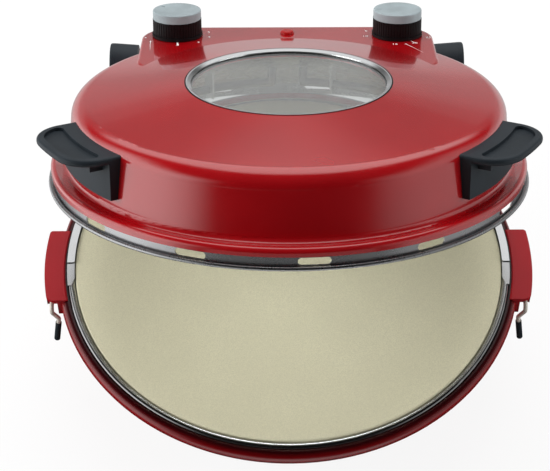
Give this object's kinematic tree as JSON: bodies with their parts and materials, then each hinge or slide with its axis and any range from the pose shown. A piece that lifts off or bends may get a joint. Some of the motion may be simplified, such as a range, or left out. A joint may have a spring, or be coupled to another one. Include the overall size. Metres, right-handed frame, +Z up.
{
  "type": "countertop pizza oven",
  "caption": "Round countertop pizza oven with a baking stone in a low base, a hinged domed lid with a window, two knobs and side handles.",
  "frame": {"origin": "centre of the footprint on the table, under the oven with its lid open as in the picture", "axes": "+Z up, +Y towards the hinge at the back, +X to the right seen from the front"},
  "size_m": [0.366, 0.3825, 0.3033],
  "materials": {
    "red_paint": "gloss red enamel",
    "red_plastic": "gloss red",
    "steel": "bright sheet",
    "polished_steel": "polished",
    "element": "dull dark sheath",
    "stone": "unglazed cordierite",
    "glass": "clear toughened glass",
    "black_plastic": "satin black",
    "grey_plastic": "satin grey",
    "rubber": "black heat-proof rubber",
    "lens": "translucent red"
  },
  "bodies": {
    "base": {"base_shell": "red_paint", "lower_reflector": "steel", "rear_rim_guard": "polished_steel", "lower_heater": "element", "lower_heater_clips": "steel", "bottom_plate": "steel", "bottom_screws": "steel", "front_left_foot": "rubber", "front_right_foot": "rubber", "rear_left_foot": "rubber", "rear_right_foot": "rubber", "left_side_block": "red_plastic", "right_side_block": "red_plastic", "left_hinge_post": "black_plastic", "right_hinge_post": "black_plastic", "left_hinge_cap": "black_plastic", "right_hinge_cap": "black_plastic", "left_hinge_pin": "steel", "right_hinge_pin": "steel"},
    "lid": {"lid_shell": "red_paint", "hinge_cover": "black_plastic", "lid_reflector": "steel", "upper_heater": "element", "upper_heater_clips": "steel", "window_gasket": "rubber", "window_glass": "glass", "window_ring": "polished_steel", "left_handle": "black_plastic", "right_handle": "black_plastic", "handle_screws": "steel", "thermostat": "black_plastic", "timer": "black_plastic", "indicator_lens": "lens", "cord_gland": "black_plastic"},
    "pizza_stone": {"pizza_stone": "stone"},
    "left_latch": {"left_latch_wire": "polished_steel", "left_latch_sleeve": "rubber"},
    "right_latch": {"right_latch_wire": "polished_steel", "right_latch_sleeve": "rubber"},
    "left_knob": {"left_knob": "black_plastic", "left_knob_cap": "grey_plastic"},
    "right_knob": {"right_knob": "black_plastic", "right_knob_cap": "grey_plastic"}
  },
  "joints": [
    {"name": "lid_hinge", "type": "hinge", "parent": "base", "child": "lid", "pos_m": [0, 0.16224, 0.1163], "axis": [-1, 0, 0], "range_deg": [-28, 62]},
    {"name": "stone_tilt", "type": "hinge", "parent": "base", "child": "pizza_stone", "pos_m": [0, 0.14174, 0.095], "axis": [-1, 0, 0], "range_deg": [0, 16]},
    {"name": "left_knob_turn", "type": "hinge", "parent": "lid", "child": "left_knob", "pos_m": [-0.0843, 0.13699, 0.18489], "axis": [0, -0.4695, -0.8829], "range_deg": [0, 270]},
    {"name": "right_knob_turn", "type": "hinge", "parent": "lid", "child": "right_knob", "pos_m": [0.0843, 0.13699, 0.18489], "axis": [0, -0.4695, -0.8829], "range_deg": [0, 300]},
    {"name": "left_latch_turn", "type": "hinge", "parent": "base", "child": "left_latch", "pos_m": [-0.176, -0.01826, 0.088], "axis": [0, 1, 0], "range_deg": [0, 190]},
    {"name": "right_latch_turn", "type": "hinge", "parent": "base", "child": "right_latch", "pos_m": [0.176, -0.01826, 0.088], "axis": [0, -1, 0], "range_deg": [0, 190]}
  ]
}
